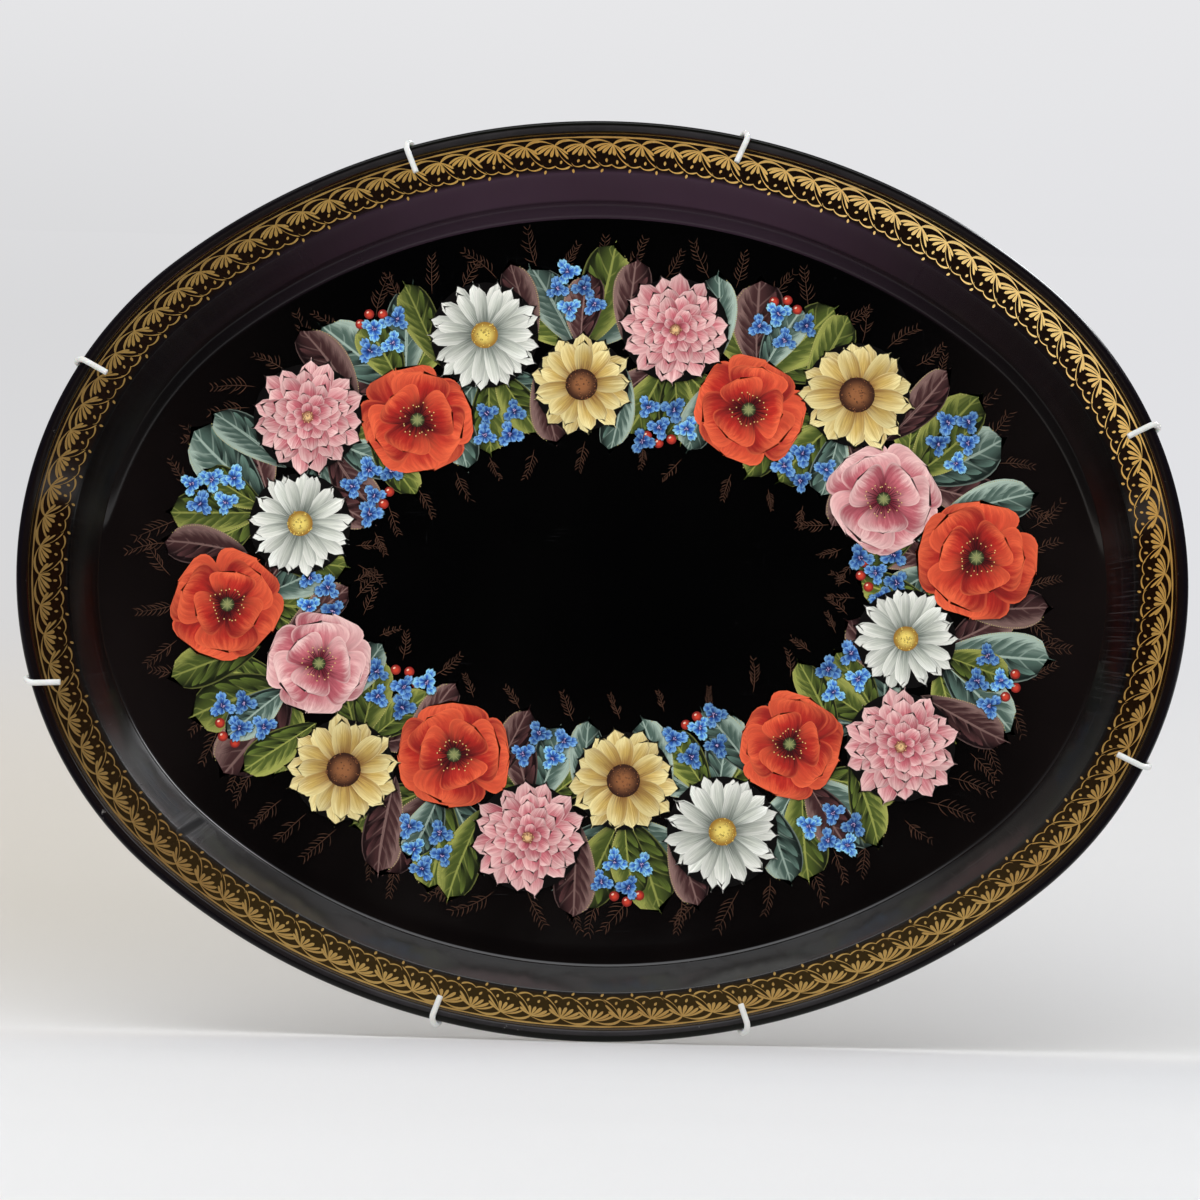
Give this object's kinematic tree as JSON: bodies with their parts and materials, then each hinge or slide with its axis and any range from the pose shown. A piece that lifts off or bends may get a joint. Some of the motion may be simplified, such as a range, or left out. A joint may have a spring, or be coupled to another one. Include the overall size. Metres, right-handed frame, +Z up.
{
  "type": "oval painted tray on spring plate hangers",
  "caption": "Oval black-lacquered sheet-steel tray with a painted floor, gold-ornamented flange and wired rolled rim, held upright by sleeved wire plate hangers joined by coil springs.",
  "frame": {"origin": "centre of the nail bend in the top hanger wire, behind the tray", "axes": "+X to the viewer's right, +Y towards the wall (the painted face looks along -Y), +Z up"},
  "size_m": [0.5, 0.0473, 0.396],
  "materials": {
    "lacquer": "black gloss lacquer over sheet steel, painted flowers and gold ornament under clear varnish",
    "rim_steel": "drawn steel wire",
    "hanger_wire": "zinc-plated drawn wire",
    "spring": "bright coiled spring wire",
    "sleeve": "soft white vinyl"
  },
  "bodies": {
    "hanger_top": {"top_wire": "hanger_wire", "top_left_sleeve": "sleeve", "top_right_sleeve": "sleeve"},
    "tray": {"tray_shell": "lacquer", "rim_wire": "rim_steel", "upright_spring_left": "spring", "upright_spring_right": "spring", "side_spring_upper": "spring", "side_spring_lower": "spring"},
    "hanger_bottom": {"bottom_wire": "hanger_wire", "bottom_left_sleeve": "sleeve", "bottom_right_sleeve": "sleeve"},
    "hanger_left": {"left_wire": "hanger_wire", "left_top_sleeve": "sleeve", "left_bottom_sleeve": "sleeve"},
    "hanger_right": {"right_wire": "hanger_wire", "right_top_sleeve": "sleeve", "right_bottom_sleeve": "sleeve"}
  },
  "joints": [
    {"name": "tray_pull_down", "type": "slide", "parent": "hanger_top", "child": "tray", "axis": [0, 0, -1], "range_m": [0, 0.016], "stiffness_N_per_m": 600, "springref_m": -0.07, "deforming": ["upright_spring_left", "upright_spring_right"]},
    {"name": "bottom_hooks_pull", "type": "slide", "parent": "tray", "child": "hanger_bottom", "axis": [0, 0, -1], "range_m": [0, 0.016], "stiffness_N_per_m": 600, "springref_m": -0.07, "deforming": ["upright_spring_left", "upright_spring_right"]},
    {"name": "left_hooks_pull", "type": "slide", "parent": "tray", "child": "hanger_left", "axis": [-1, 0, 0], "range_m": [0, 0.016], "stiffness_N_per_m": 450, "springref_m": -0.07, "deforming": ["side_spring_upper", "side_spring_lower"]},
    {"name": "right_hooks_pull", "type": "slide", "parent": "tray", "child": "hanger_right", "axis": [1, 0, 0], "range_m": [0, 0.016], "stiffness_N_per_m": 450, "springref_m": -0.07, "deforming": ["side_spring_upper", "side_spring_lower"]}
  ]
}
